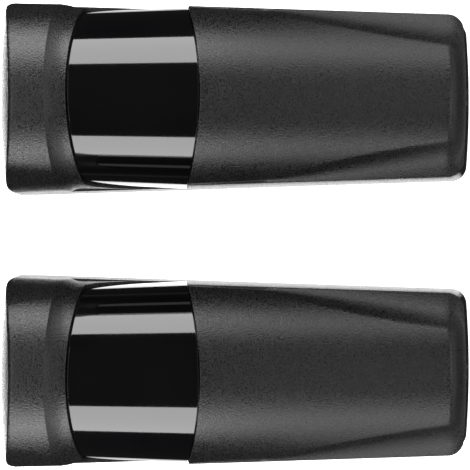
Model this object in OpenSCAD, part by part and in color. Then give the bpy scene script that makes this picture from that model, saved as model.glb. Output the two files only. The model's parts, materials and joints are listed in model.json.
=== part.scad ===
/* [Housing] */
// Length of the back, from the hood end to the cable end
body_l = 129.7; // [124:0.1:150]
// Width of the back at the hood end
hood_end_w = 53; // [51:0.1:57]
// Width of the back at the cable end
cable_end_w = 44.7; // [42:0.1:50]
// Height of the rim where the cover parts from the housing
rim_h = 17.2; // [16:0.1:19]
// Thickness of the moulded walls
wall = 2.2; // [1.8:0.1:2.6]
// Thickness of the floor
floor_t = 2.2; // [1.8:0.1:2.8]
// Draft of the long sides in degrees
side_draft = 2.2; // [1:0.1:4]
// Slope of the cable end in degrees
end_slope = 11.6; // [6:0.2:14]
// Radius of the corners seen from the front
corner_r = 4; // [3.4:0.1:7]
// Bow of each end seen from the front
end_bow = 1; // [0:0.1:2]

/* [Hood] */
// Height of the axis that the arched surfaces share
arch_h = 9; // [8:0.1:10]
// Radius of the hood's arch
hood_r = 27; // [26.6:0.1:28]
// Radius of the collar's arch beside the window
collar_r = 24.8; // [24.6:0.1:25.4]
// Distance from the hood end to the step down to the collar
step_at = 14.3; // [12:0.1:14.5]
// Length of the sloped step
step_l = 5.3; // [4:0.1:5.5]
// How much further on the step lies at the sides
step_bow = 2.2; // [1:0.1:2.6]
// Radius of the backward lean of the hood end
lean_r = 73; // [65:1:110]
// Rounding of the hood's front edge
hood_edge_r = 1; // [0.6:0.1:4]
// Length over which the hood's shoulders are blended
shoulder_blend = 11; // [3:0.1:12]
// Length over which the collar's shoulders are blended
collar_blend = 4; // [2:0.1:5]

/* [Window] */
// Distance from the hood end to the window at its crown
window_at = 20.3; // [20:0.1:22]
// Distance from the hood end to the window's other end at its crown
window_end = 54.4; // [53:0.1:56]
// Outer radius of the window at the hood
window_r_hood = 23.8; // [23.5:0.1:24.2]
// Outer radius of the window at the cover
window_r_cover = 24.85; // [24.5:0.05:25]
// Thickness of the window
window_t = 2; // [1.6:0.1:2.2]
// Height of the window's lower edge above the back
sill_h = 8.4; // [7.8:0.1:9]
// Bow of the window's edge at the hood
window_bow = 2.9; // [2:0.1:3.5]
// Bow of the window's edge at the cover
window_end_bow = 3.75; // [3:0.05:4.5]
// Height at which the swept lower corner begins
sweep_h = 18; // [16:0.1:20]
// Length of the swept lower corner
sweep_l = 17; // [12:0.1:18]
// Radius of the window's small lower corner
window_corner_r = 2; // [1:0.1:3]
// Gap between the window and the parts around it
window_gap = 0.4; // [0.3:0.05:0.5]

/* [Cover] */
// Radius of the cover's arch at the window
cover_r = 25.5; // [25.3:0.1:26]
// Radius of the cover's arch at the cable end
cover_end_r = 23.8; // [23:0.1:25]
// Height of the cover's crown at the window
crown_h = 34.5; // [34.3:0.1:35.5]
// Height of the cover's crown at the cable end
crown_end_h = 29.8; // [27:0.1:31]
// Thickness of the cover
cover_t = 2; // [1.6:0.1:2.2]
// Joint line between the housing's rim and the cover
joint_gap = 0.4; // [0.3:0.05:0.6]
// Height of the upright lip round the cover's edge
lip_h = 1; // [0.8:0.1:1.4]
// Distance from the hood end to the start of the side creases
crease_at = 68.3; // [62:0.1:75]
// Half the distance between the creases at the cable end
crease_end_w = 12.9; // [11:0.1:14.5]
// Inward curve of each crease at half its length
crease_sag = 0.85; // [0:0.05:1.5]
// Length of the sloped end of the cover
nose_l = 5.6; // [4.6:0.1:6.4]

/* [Swivel head] */
// Distance from the hood end to the middle of the head
head_at = 37.5; // [37:0.1:38]
// Height of the swivel axis above the back
swivel_h = 16.5; // [16.3:0.1:17]
// Outer radius of the lens barrel
barrel_r = 9.2; // [8.8:0.1:9.3]
// Reach of the barrel behind the swivel axis
barrel_back = 7.5; // [6.5:0.1:8]
// Wall of the lens barrel
barrel_wall = 1.2; // [1:0.1:1.5]
// Diameter of the swivel journals
journal_d = 5; // [4:0.1:5.6]
// Diameter of the tilt trunnions
trunnion_d = 3; // [2.4:0.1:3.4]
// Radial clearance of the turning fits
turn_gap = 0.05; // [0.03:0.01:0.08]
// Diameter of the adjusting knob
knob_d = 11; // [9:0.1:12]

/* [Electronics] */
// Length of the main board
board_l = 38; // [37:0.5:38.5]
// Width of the main board
board_w = 34; // [32:0.5:36]
// Thickness of the printed circuit boards
board_t = 1.6; // [1.2:0.1:2]
// Distance from the hood end to the main board
board_at = 66; // [66:0.1:67]
// Height of the posts under the main board
post_h = 4; // [3:0.1:5]
// Pitch of the terminals
pole_pitch = 3.8; // [3.7:0.1:4.6]
// Number of terminals
poles = 5; // [3:1:5]
// Travel of the selector's slider
selector_travel = 2; // [1.5:0.1:2.4]

/* [Wall mounting] */
// Distance between the mounting slots along the body
slots_dx = 57; // [56:0.5:58]
// Distance between the mounting slots across the body
slots_dy = 28; // [26:0.5:29]
// Width of a mounting slot
slot_w = 4.5; // [4:0.1:5]
// End-to-end length of a mounting slot
slot_l = 7; // [6:0.1:7.4]
// Distance from the cable end to the far pair of slots
slots_from_end = 11.5; // [11:0.1:13]
// Diameter of the cable entry in the floor
entry_d = 12; // [8:0.5:12.5]
// Distance from the cable end to the cable entry
entry_from_end = 20.3; // [20.2:0.1:21]

/* [Pair] */
// Distance between the centre lines of transmitter and receiver
pair_pitch = 75.12; // [66:0.1:120]

/* [Hidden] */

$fn = 64;

// Colours
housing_black = "#2c2c2e";
window_black = "#101012";
rubber_grey = "#3a3a3c";
board_green = "#1f5a36";
steel_grey = "#b9bcc0";

// Lengths shared by cuts and by the loft tables
overrun = 1;
sliver = 0.001;
foot_h = sill_h - window_gap;
cover_h = rim_h + joint_gap;
clear = 0.3;
seat_gap = 0.05;
hood_foot = foot_h - clear;

// Ledge under the window, and the arch that carries the window's end and the cover's seal
ledge_l = 2.2;
ledge_t = 1.4;
partition_under = 2.25;
partition_l = 9.2;
leg_t = 1.2;
leg_share = 0.5;
seal_from_window = 0.9;
seal_l = 1.7;
seal_groove = 0.9;
seal_inset = 0.9;
seal_w = 1;
gasket_inset = 0.7;

// Cover's clamp: boss on the floor, fork under the cover, screw through the cable end
clamp_boss_w = 9;
clamp_boss_l = 3.5;
clamp_screw_h = 11;
clamp_screw_d = 3;
clamp_head_d = 5.4;
clamp_head_l = 2.2;
fork_t = 1.6;
clamp_s = cable_end(clamp_screw_h) - wall - clamp_head_l - 2 * clear - seat_gap - fork_t - clamp_boss_l;

// Screws, grommet
screw_head_h = 1.6;
slot_cut = 0.7;
post_d = 5.4;
post_inset = 3;
board_screw_d = 2.2;
grommet_lip = 1.5;
grommet_t = 1.2;
cable_d = 6;

// Swivel head
bracket_l = 32.4;
bracket_w = 26;
bracket_t = 1.6;
bracket_boss_d = 6;
bracket_screw_d = 2.6;
upright_t = 2;
upright_w = 10;
yoke_wall = 1.7;
yoke_half_h = 3;
barrel_room = 1.2;
barrel_front = arch_h - swivel_h
  + sqrt(pow(window_r_hood - window_t - barrel_room, 2) - pow(barrel_r, 2));
yoke_half_l = bracket_l / 2 - upright_t - clear;
rail_y = barrel_r + clear;
journal_out = 1;
knob_t = 3;
knob_rib = 1;
led_d = 5.2;
photodiode_side = 3.4;
lens_edge = 1.4;
lens_lip = 1;
lens_bulge = 2.4;
lens_ledge = 0.6;
optics_l = 14;
optics_w = 12;

// Lead from the plug on the board, past the bracket, to the hollow journal of the yoke
lead_d = 2;
lead_sides = 8;
plug_l = 6;
plug_w = 5;
plug_h = 6;
lead_route = [[66.4, -8, 11.8], [64.4, -8, 11.8], [62.2, -8.1, 10.8], [60.6, -8.3, 8],
  [58.8, -8.8, 5], [56.6, -10.6, 3.8], [54.6, -13.2, 3.4], [52, -14.4, 3.3], [40, -14.4, 3.3],
  [28, -14.4, 3.3], [21.5, -14, 3.4], [17.8, -12, 4.4], [15.9, -8, 7.6], [15.3, -4, 11.6],
  [15.6, -1.2, 14.8], [17, 0, 16.3], [18.6, 0, 16.5], [21, 0, 16.5]];

// Main board, its parts placed as [from the board's hood end, across] or with a length after
board_top = floor_t + post_h + board_t;
block_l = 8;
block_h = 9.6;
block_s = board_l - block_l - clear;
clamp_hole = 3.2;
terminal_d = 3.4;
chip_w = 4;
chip_h = 1.6;
pin_l = 0.8;
pin_w = 0.5;
pin_rows = 4;
chip_places = [[5, 0, 10], [18, -12, 8.5]];
can_d = 6.3;
can_h = 9;
can_places = [[9.5, 11.5], [15, -12.6]];
can_shares = [1, 0.8];
regulator_l = 4.6;
regulator_w = 10;
regulator_h = 15;
regulator_at = 19.3;
relay_l = 10;
relay_w = 15;
relay_h = 13;
relay_place = [17.5, -6.7];
indicator_d = 3;
indicator_place = [8, -13.5];
selector_l = 8.6;
selector_w = 3.6;
selector_h = 3.5;
selector_place = [19, 11.6];
slider_l = 1.5;
slider_h = 3;

// Counts and shares of the lofted surfaces
arc_steps = 6;
bow_steps = 6;
hood_columns = 30;
foot_density_share = 0.6;
wall_steps = 4;
edge_steps = 4;
edge_height_share = 0.45;
fair_angle = 16;
sweep_power = 2.3;
outline_steps = 22;
cove_power = 2.2;
side_power = 3;
inner_edge_r = 0.4;
rim_slope_share = 0.6;
main_columns = 9;
cove_columns = 5;
cover_rows = 13;
nose_rows = 7;
crease_strip = 0.6;

function mix(a, b, t) = a + (b - a) * t;
function limit(t) = min(1, max(0, t));
function ease(t) = let(c = limit(t)) c * c * (3 - 2 * c);
function smooth_min(a, b, k) = let(h = max(0, k - abs(a - b)) / k) min(a, b) - h * h * k / 4;
function flip(list) = [for (i = [len(list) - 1:-1:0]) list[i]];

// Half the width of the body at a distance s from the hood end and a height z
function side_w(s, z) = mix(hood_end_w, cable_end_w, s / body_l) / 2 - z * tan(side_draft);
// Distance of the sloped cable end from the hood end at a height z
function cable_end(z) = body_l - z * tan(end_slope);
// Backward lean of the hood end above the sill
function lean(z) = lean_r - sqrt(pow(lean_r, 2) - pow(max(0, z - foot_h), 2));

// Faces of a loft through closed rings of equal length, leaving out collapsed triangles
function open_faces(p, list) = [for (f = list)
  if (min(norm(p[f[0]] - p[f[1]]), norm(p[f[1]] - p[f[2]]), norm(p[f[2]] - p[f[0]])) > sliver) f];
function cap(p, list) = [for (k = [0:len(list) - 1])
  if (norm(p[list[k]] - p[list[(k + 1) % len(list)]]) > sliver) list[k]];
function loft_faces(p, rings, n) = concat(
  [cap(p, [for (i = [0:n - 1]) i])],
  open_faces(p, [for (k = [0:rings - 2], i = [0:n - 1])
    let(a = k * n + i, b = k * n + (i + 1) % n) each [[a, a + n, b + n], [a, b + n, b]]]),
  [cap(p, [for (i = [n - 1:-1:0]) (rings - 1) * n + i])]);
module loft(rings) {
  p = [for (r = rings) each r];
  polyhedron(p, loft_faces(p, len(rings), len(rings[0])), convexity = 10);
}

// Body coordinates: s from the hood end is turned into x about the middle of the body
function at(s, y, z) = [s - body_l / 2, y, z];
module from_hood(s, y = 0, z = 0) {
  translate(at(s, y, z)) children();
}
// A straight prism across the body from an outline given as [s, z]
module side_prism(points, w) {
  rotate([90, 0, 0]) linear_extrude(height = w, center = true)
    polygon([for (q = points) [q[0] - body_l / 2, q[1]]]);
}
// Cone along the body between two distances from the hood end, on the arch axis
module arch_cone(s0, s1, r0, r1) {
  from_hood(s0, 0, arch_h) rotate([0, 90, 0]) cylinder(h = s1 - s0, r1 = r0, r2 = r1, $fn = 96);
}

// Plan outline at a height z, drawn in by an inset, counter-clockwise from the hood end
function end_curve(w, r) = [for (q = concat(
    [for (k = [arc_steps:-1:0]) let(a = 90 * k / arc_steps) [r * (1 - cos(a)), w - r + r * sin(a)]],
    [for (k = [1:bow_steps - 1]) [0, (w - r) * (1 - 2 * k / bow_steps)]],
    [for (k = [0:arc_steps]) let(a = 90 * k / arc_steps) [r * (1 - cos(a)), r - w - r * sin(a)]]))
  [q[0] + end_bow * pow(q[1] / w, 2), q[1]]];
function plan(z, inset = 0, start = 0) = let(
    r = max(corner_r - inset, wall / 2),
    near = start + inset, far = cable_end(z) - inset,
    near_w = side_w(start + corner_r, z) - inset,
    far_w = side_w(cable_end(z) - corner_r, z) - inset)
  concat([for (q = end_curve(near_w, r)) [near + q[0], q[1]]],
    flip([for (q = end_curve(far_w, r)) [far - q[0], q[1]]]));
function plan_ring(z, inset = 0, start = 0) = [for (q = plan(z, inset, start)) at(q[0], q[1], z)];

// Edges of the window seen from the side, as distances from the hood end
function window_left(z, gap = 0) = window_at - gap
  + window_bow * (1 - pow((z - arch_h) / window_r_hood, 2))
  + sweep_l * pow(limit((sweep_h - z) / (sweep_h - sill_h + gap)), sweep_power);
function window_right(z) = window_end
  - window_end_bow * (1 - pow((z - arch_h) / window_r_cover, 2));
function window_radius(s) = mix(window_r_hood, window_r_cover,
  (s - window_at) / (window_end - window_at));
function right_corner(gap) = let(r = window_corner_r + gap, low = sill_h - gap,
    mid = window_right(low + r) + gap - r)
  [for (k = [0:arc_steps]) let(a = 90 * k / arc_steps) [mid + r * sin(a), low + r * (1 - cos(a))]];
function right_edge(gap, top) = let(low = sill_h + window_corner_r)
  [for (k = [1:outline_steps]) let(z = mix(low, top, k / outline_steps)) [window_right(z) + gap, z]];
function window_outline(gap, top) = concat(
  [for (k = [outline_steps:-1:0]) let(z = mix(sill_h - gap, top, pow(k / outline_steps, 1.6)))
    [window_left(z, gap), z]],
  right_corner(gap), right_edge(gap, top));

// Section of the hood: reach along a ray from the sill, blended from arch and drafted side
function arch_reach(a, r) = let(rise = arch_h - hood_foot)
  rise * sin(a) + sqrt(pow(r, 2) - pow(rise * cos(a), 2));
function hood_point(s, a, inset) = let(
    w = side_w(s, hood_foot) - inset,
    t = limit((s - step_bow * pow(cos(a), 2) - step_at) / step_l),
    r = mix(hood_r, collar_r, t * (2 - t)) - inset,
    to_side = w / (abs(cos(a)) + sin(a) * tan(side_draft)),
    both = smooth_min(arch_reach(a, r), to_side, mix(shoulder_blend, collar_blend, t)),
    reach = mix(to_side, both, ease(min(a, 180 - a) / fair_angle)))
  at(s, reach * cos(a), hood_foot + reach * sin(a));
function arch_point(s, a, r) = let(reach = arch_reach(a, r))
  at(s, reach * cos(a), hood_foot + reach * sin(a));

/* One column of the hood, from the foot of its end wall, over the rounded edge,
   along the roof and down the step to the collar beside the window */
function hood_column(a, inset) = let(
    w = side_w(corner_r, hood_foot) - inset,
    rc = corner_r - inset,
    top = hood_point(corner_r, a, inset),
    y = top[1],
    over = abs(y) - (w - rc),
    round_in = over > 0 ? rc - sqrt(max(0, pow(rc, 2) - pow(over, 2))) : 0,
    base = inset + round_in + end_bow * pow(y / w, 2),
    edge = min(max(hood_edge_r - inset, inner_edge_r), (top[2] - hood_foot) * edge_height_share),
    step_s = step_at + step_bow * pow(cos(a), 2),
    roof_s = base + lean(top[2]) + edge)
  concat(
    [for (k = [0:wall_steps - 1]) let(z = mix(hood_foot, top[2] - edge, k / wall_steps))
      at(base + lean(z), y, z)],
    [for (k = [0:edge_steps]) let(b = 90 * k / edge_steps, z = top[2] - edge * (1 - sin(b)))
      at(base + lean(z) + edge * (1 - cos(b)), y, z)],
    [for (k = [1:2]) hood_point(mix(roof_s, step_s, k / 2), a, inset)],
    [for (k = [1:4]) hood_point(step_s + step_l * k / 4, a, inset)]);
function collar_column(a) = let(
    z = hood_point(step_at + step_l, a, 0)[2],
    s = window_left(z, window_gap),
    start = step_at + step_bow * pow(cos(a), 2) + step_l)
  [for (k = [1:3]) hood_point(mix(start, s, k / 3), a, seat_gap)];
function ledge_column(a) = let(
    s = window_left(hood_point(step_at + step_l, a, 0)[2], window_gap),
    out = window_radius(s) - window_t - seat_gap,
    in = out - ledge_t)
  [arch_point(s, a, out), arch_point(s + ledge_l, a, out),
   arch_point(s + ledge_l, a, in), arch_point(s - ledge_t, a, in)];
hood_angles = [for (k = [0:hood_columns]) let(q = k / hood_columns)
  180 * q - foot_density_share * 180 / (2 * PI) * sin(360 * q)];

module hood_shell() {
  difference() {
    loft([for (a = flip(hood_angles))
      concat(hood_column(a, seat_gap), collar_column(a), ledge_column(a),
        flip(hood_column(a, wall - seat_gap)))]);
    from_hood(-overrun, -hood_end_w, 0)
      cube([body_l, 2 * hood_end_w, hood_foot + clear / 2]);
  }
}

// Surface of the cover: main arch, and a cove beyond each crease and round the nose
function crown(s) = mix(crown_h, crown_end_h,
  (s - window_end) / (cable_end(cover_h) - nose_l - window_end));
function arch_of_cover(s) = mix(cover_r, cover_end_r, (s - window_end) / (body_l - window_end));
function main_z(s, y) = let(r = arch_of_cover(s)) crown(s) - r + sqrt(pow(r, 2) - pow(y, 2));
function crease_w(s) = let(
    t = max(0, (s - crease_at) / (cable_end(cover_h) - nose_l - crease_at)),
    r = arch_of_cover(s))
  min(mix(side_w(crease_at, cover_h), crease_end_w, t) - crease_sag * 4 * t * (1 - limit(t)),
    sqrt(pow(r, 2) - pow(cover_h + lip_h - crown(s) + r, 2)),
    cover_w(s) - crease_strip);
function cover_w(s) = let(over = max(0, s - cable_end(cover_h) + corner_r))
  side_w(min(s, cable_end(cover_h) - corner_r), cover_h)
    - corner_r + sqrt(max(0, pow(corner_r, 2) - pow(over, 2)));
function side_cove(q) = let(left = 1 - limit(q)) mix(pow(left, side_power), left, rim_slope_share);
function nose_cove(q) = pow(1 - limit(q), cove_power) * (1 + cove_power * limit(q));
function cover_z(s, y) = let(
    low = cover_h + lip_h, c = crease_w(s), w = cover_w(s),
    nose = (s - cable_end(cover_h) + nose_l) / nose_l,
    side = (abs(y) - c) / (w - c))
  low + (main_z(s, min(abs(y), c)) - low) * side_cove(side) * nose_cove(nose);
// Distance across the body of a column numbered from -1 to 1
function cover_y(s, t) = let(
    c = crease_w(s), r = arch_of_cover(s), share = main_columns / (main_columns + cove_columns))
  sign(t) * (abs(t) <= share ? r * sin(asin(c / r) * abs(t) / share)
    : mix(c, cover_w(s), (abs(t) - share) / (1 - share)));
nose_at = cable_end(cover_h) - nose_l;
cover_ts = [for (k = [-main_columns - cove_columns:main_columns + cove_columns])
  k / (main_columns + cove_columns)];
cover_start = [for (t = cover_ts)
  window_right(cover_z(window_end, cover_y(window_end, t))) + window_gap];
function cover_s(start, row) = row <= cover_rows
  ? mix(start, nose_at, row / cover_rows)
  : nose_at + nose_l * (row - cover_rows) / nose_rows;
function cover_outer(t, start) = [for (row = [0:cover_rows + nose_rows]) let(
    s = cover_s(start, row), y = cover_y(s, t))
  at(s - end_bow * pow(y / cover_w(nose_at), 2) * ease((s - crease_at) / (nose_at - crease_at)),
    y, cover_z(s, y))];
function cover_inner(t, start) = let(end = cable_end(cover_h))
  [for (row = [0:cover_rows + nose_rows]) let(
    s = cover_s(start, row), y = cover_y(s, t),
    bow = end_bow * pow(y / cover_w(nose_at), 2) * ease((s - crease_at) / (nose_at - crease_at)))
  at(s - bow - cover_t * (s - start) / (end - start), y * (1 - cover_t / cover_w(start)),
    max(cover_h, cover_z(s, y) - cover_t))];
function lowered(points) = [for (q = points) [q[0], q[1], cover_h]];
function last(list) = list[len(list) - 1];
function cover_ring(t, start) = let(o = cover_outer(t, start), i = cover_inner(t, start))
  concat(o, lowered([last(o)]), lowered([last(i)]), flip(i));
function cover_rim(t, start) = lowered(cover_ring(t, start));

module cover_shell() {
  n = len(cover_ts) - 1;
  loft(concat([cover_rim(-1, cover_start[0])],
    [for (k = [0:n]) cover_ring(cover_ts[k], cover_start[k])],
    [cover_rim(1, cover_start[n])]));
}

// The housing: a drafted tub, open at the front, with the hood in one piece with it
module tub_cut() {
  top = rim_h + wall;
  side_prism(concat([[-wall, top], [-wall, foot_h]], right_corner(window_gap),
    right_edge(window_gap, top)), 2 * hood_end_w);
}
module tub() {
  difference() {
    loft([plan_ring(0), plan_ring(rim_h)]);
    loft([plan_ring(floor_t, wall), plan_ring(rim_h + overrun, wall)]);
    tub_cut();
  }
}
partition_s = window_end - window_end_bow - partition_under;
partition_r = window_radius(partition_s) - window_t - seat_gap;
seal_s = window_end + seal_from_window;
module partition_leg(side) {
  from_hood(partition_s, side * (partition_r - wall * leg_share) - leg_t / 2, floor_t / 2)
    cube([partition_l, leg_t, arch_h - floor_t / 2]);
}
module partition_arch() {
  for (side = [-1, 1]) partition_leg(side);
  difference() {
    arch_cone(partition_s, partition_s + partition_l, partition_r, partition_r);
    arch_cone(partition_s - overrun, partition_s + partition_l + overrun,
      partition_r - wall, partition_r - wall);
    difference() {
      arch_cone(seal_s, seal_s + seal_l, partition_r + overrun, partition_r + overrun);
      arch_cone(seal_s - overrun, seal_s + seal_l + overrun,
        partition_r - seal_groove, partition_r - seal_groove);
      from_hood(seal_s - overrun, -hood_end_w / 2, -hood_r)
        cube([seal_l + 2 * overrun, hood_end_w, hood_r + cover_h]);
    }
    from_hood(partition_s - overrun, -hood_end_w / 2, -hood_r)
      cube([partition_l + 2 * overrun, hood_end_w, hood_r + hood_foot]);
  }
}

// Places of the wall slots, the cable entry and the posts, from the ends of the body
slots_s = body_l - slots_from_end - slots_dx / 2;
entry_s = body_l - entry_from_end;
function slot_places() = [for (i = [-1, 1], j = [-1, 1])
  [slots_s + i * slots_dx / 2, j * slots_dy / 2]];
function post_places() = [for (i = [0, 1], j = [-1, 1])
  [board_at + post_inset + i * (board_l - 2 * post_inset), j * (board_w / 2 - post_inset)]];
function bracket_places() = [for (i = [-1, 1])
  [head_at + i * (bracket_l / 2 - bracket_boss_d), -i * (bracket_w - bracket_boss_d) / 2]];

module slot_hole(w, l, h) {
  for (i = [-1, 1]) translate([i * (l - w) / 2, 0, 0]) cylinder(h = h, d = w);
  translate([-(l - w) / 2, -w / 2, 0]) cube([l - w, w, h]);
}
module rear_housing() {
  color(housing_black) difference() {
    union() {
      hood_shell();
      tub();
      partition_arch();
      for (q = post_places()) from_hood(q[0], q[1], floor_t / 2)
        cylinder(h = floor_t / 2 + post_h, d = post_d);
      from_hood(clamp_s, -clamp_boss_w / 2, floor_t / 2)
        cube([clamp_boss_l, clamp_boss_w, clamp_screw_h + clamp_boss_w / 2 - floor_t / 2]);
    }
    for (q = slot_places()) from_hood(q[0], q[1], -overrun)
      slot_hole(slot_w, slot_l, floor_t + 2 * overrun);
    from_hood(entry_s, 0, -overrun) cylinder(h = floor_t + 2 * overrun, d = entry_d);
    for (q = post_places()) from_hood(q[0], q[1], floor_t)
      cylinder(h = post_h + overrun, d = board_screw_d);
    for (q = bracket_places()) from_hood(q[0], q[1], floor_t / 4)
      cylinder(h = floor_t, d = bracket_screw_d);
    from_hood(clamp_s - overrun, 0, clamp_screw_h) rotate([0, 90, 0])
      cylinder(h = clamp_boss_l + 2 * overrun, d = clamp_screw_d);
    from_hood(cable_end(clamp_screw_h) - 2 * wall, 0, clamp_screw_h) rotate([0, 90, 0])
      cylinder(h = 4 * wall, d = clamp_head_d + 2 * clear);
  }
}

module front_cover() {
  fork_w = clamp_boss_w;
  fork_top = cover_z(clamp_s + clamp_boss_l + clear + fork_t, 0) - cover_t / 2;
  color(housing_black) {
    cover_shell();
    difference() {
      from_hood(clamp_s + clamp_boss_l + clear / 2, -fork_w / 2, clamp_screw_h - clamp_screw_d)
        cube([fork_t, fork_w, fork_top - clamp_screw_h + clamp_screw_d]);
      from_hood(clamp_s + clamp_boss_l, -clamp_screw_d / 2 - clear, clamp_screw_h - 2 * clamp_screw_d)
        cube([2 * fork_t, clamp_screw_d + 2 * clear, 2 * clamp_screw_d + clear]);
      from_hood(clamp_s + clamp_boss_l, 0, clamp_screw_h + clear) rotate([0, 90, 0])
        cylinder(h = 2 * fork_t, d = clamp_screw_d + 2 * clear);
    }
  }
}

module ir_window() {
  s0 = window_at - window_end_bow;
  s1 = window_end + window_bow;
  top = arch_h + hood_r;
  color(window_black) intersection() {
    difference() {
      arch_cone(s0, s1, window_radius(s0), window_radius(s1));
      arch_cone(s0 - overrun, s1 + overrun,
        window_radius(s0 - overrun) - window_t, window_radius(s1 + overrun) - window_t);
    }
    side_prism(window_outline(0, top), 2 * hood_end_w);
  }
}

module window_gasket() {
  s0 = window_at - window_end_bow;
  s1 = window_end - window_end_bow - window_corner_r - wall;
  top = arch_h + hood_r;
  color(rubber_grey) intersection() {
    difference() {
      arch_cone(s0, s1, window_radius(s0) - gasket_inset, window_radius(s1) - gasket_inset);
      arch_cone(s0 - overrun, s1 + overrun,
        window_radius(s0 - overrun) - window_t, window_radius(s1 + overrun) - window_t);
    }
    difference() {
      side_prism(window_outline(window_gap, top), 2 * hood_end_w);
      side_prism(concat(window_outline(0, top), [[window_end, top + overrun],
        [window_at - overrun, top + overrun]]), 3 * hood_end_w);
    }
  }
}

module plan_plate(z, h, inset, start) {
  translate([0, 0, z]) linear_extrude(height = h)
    polygon([for (q = plan(z, inset, start)) [q[0] - body_l / 2, q[1]]]);
}
module cover_seal() {
  color(rubber_grey) {
    difference() {
      plan_plate(rim_h, joint_gap, seal_inset, 0);
      plan_plate(rim_h - overrun, joint_gap + 2 * overrun, seal_inset + seal_w, 0);
      from_hood(-wall, -hood_end_w, 0) cube([seal_s + wall, 2 * hood_end_w, 2 * hood_r]);
    }
    difference() {
      arch_cone(seal_s, seal_s + seal_l, partition_r, partition_r);
      arch_cone(seal_s - overrun, seal_s + seal_l + overrun,
        partition_r - seal_groove, partition_r - seal_groove);
      from_hood(seal_s - overrun, -hood_end_w, -hood_r)
        cube([seal_l + 2 * overrun, 2 * hood_end_w, hood_r + cover_h]);
    }
  }
}

module cover_screw() {
  color(steel_grey) from_hood(clamp_s, 0, clamp_screw_h) rotate([0, 90, 0]) difference() {
    union() {
      cylinder(h = clamp_boss_l + fork_t + clear, d = clamp_screw_d - 2 * turn_gap);
      translate([0, 0, clamp_boss_l + fork_t + clear]) cylinder(h = clamp_head_l, d = clamp_head_d);
    }
    for (a = [0, 90]) rotate([0, 0, a])
      translate([-clamp_head_d / 3, -slot_cut / 2, clamp_boss_l + fork_t + clear + clamp_head_l / 2])
        cube([2 * clamp_head_d / 3, slot_cut, clamp_head_l]);
  }
}

module cable_grommet() {
  color(rubber_grey) from_hood(entry_s, 0, 0) rotate_extrude() polygon([
    [entry_d / 2 - grommet_t, 0], [entry_d / 2, 0], [entry_d / 2, floor_t],
    [entry_d / 2 + grommet_lip, floor_t], [entry_d / 2 + grommet_lip, floor_t + grommet_t],
    [cable_d / 2, floor_t + 2 * grommet_t], [cable_d / 2, floor_t + grommet_t],
    [entry_d / 2 - grommet_t, floor_t]]);
}

// The swivel head: bracket, yoke, knob and lens barrel about two crossed axes
module bracket_upright(s) {
  from_hood(s, -upright_w / 2, floor_t) cube([upright_t, upright_w, swivel_h - floor_t]);
  from_hood(s, 0, swivel_h) rotate([0, 90, 0]) cylinder(h = upright_t, d = upright_w);
}
module swivel_bracket() {
  well = rail_y + yoke_wall + clear;
  color("#3c3d40") difference() {
    union() {
      from_hood(head_at - bracket_l / 2, -bracket_w / 2, floor_t) cube([bracket_l, bracket_w, bracket_t]);
      for (i = [0, 1]) bracket_upright(head_at - bracket_l / 2 + i * (bracket_l - upright_t));
    }
    from_hood(head_at - bracket_l / 2 - overrun, 0, swivel_h) rotate([0, 90, 0])
      cylinder(h = bracket_l + 2 * overrun, d = journal_d + 2 * turn_gap);
    for (q = bracket_places()) from_hood(q[0], q[1], floor_t - overrun)
      cylinder(h = bracket_t + 2 * overrun, d = bracket_screw_d + clear);
    from_hood(head_at - well / 2, -well / 2, floor_t - overrun)
      cube([well, well, bracket_t + 2 * overrun]);
  }
}
module pan_screw(d, l, head_d, head_h) {
  difference() {
    union() {
      translate([0, 0, -l]) cylinder(h = l, d = d);
      cylinder(h = head_h, d1 = head_d, d2 = head_d - head_h);
    }
    for (a = [0, 90]) rotate([0, 0, a])
      translate([-head_d / 4, -slot_cut / 2, head_h / 2]) cube([head_d / 2, slot_cut, head_h]);
  }
}
module bracket_screws() {
  color(steel_grey) for (q = bracket_places()) from_hood(q[0], q[1], floor_t + bracket_t)
    pan_screw(bracket_screw_d, bracket_t + floor_t / 2, 2 * bracket_screw_d, screw_head_h);
}
module swivel_yoke() {
  out_y = rail_y + yoke_wall;
  color("#46474a") difference() {
    union() {
      from_hood(head_at - yoke_half_l, -out_y, swivel_h - yoke_half_h)
        cube([2 * yoke_half_l, 2 * out_y, 2 * yoke_half_h]);
      from_hood(head_at - bracket_l / 2 - journal_out, 0, swivel_h) rotate([0, 90, 0])
        cylinder(h = bracket_l + 2 * journal_out, d = journal_d);
    }
    from_hood(head_at - yoke_half_l + yoke_wall, -rail_y, swivel_h - 2 * yoke_half_h)
      cube([2 * (yoke_half_l - yoke_wall), 2 * rail_y, 4 * yoke_half_h]);
    from_hood(head_at, -2 * out_y, swivel_h) rotate([-90, 0, 0])
      cylinder(h = 4 * out_y, d = trunnion_d + 2 * turn_gap);
    from_hood(head_at - bracket_l, 0, swivel_h) rotate([0, 90, 0])
      cylinder(h = bracket_l, d = journal_d / 2);
  }
}
module swivel_knob() {
  s0 = head_at + bracket_l / 2 + clear;
  color("#6a6c70") difference() {
    union() {
      from_hood(s0, 0, swivel_h) rotate([0, 90, 0]) cylinder(h = knob_t, d = knob_d);
      for (a = [0:30:330]) from_hood(s0, 0, swivel_h) rotate([a, 0, 0])
        translate([0, knob_d / 2 - knob_rib / 2, -knob_rib / 2]) cube([knob_t, knob_rib, knob_rib]);
    }
    from_hood(s0 - overrun, 0, swivel_h) rotate([0, 90, 0])
      cylinder(h = journal_out - clear + overrun, d = journal_d);
    from_hood(s0 + knob_t - knob_t / 3, -knob_d / 3, swivel_h - slot_cut)
      cube([knob_t, 2 * knob_d / 3, 2 * slot_cut]);
  }
}
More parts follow.
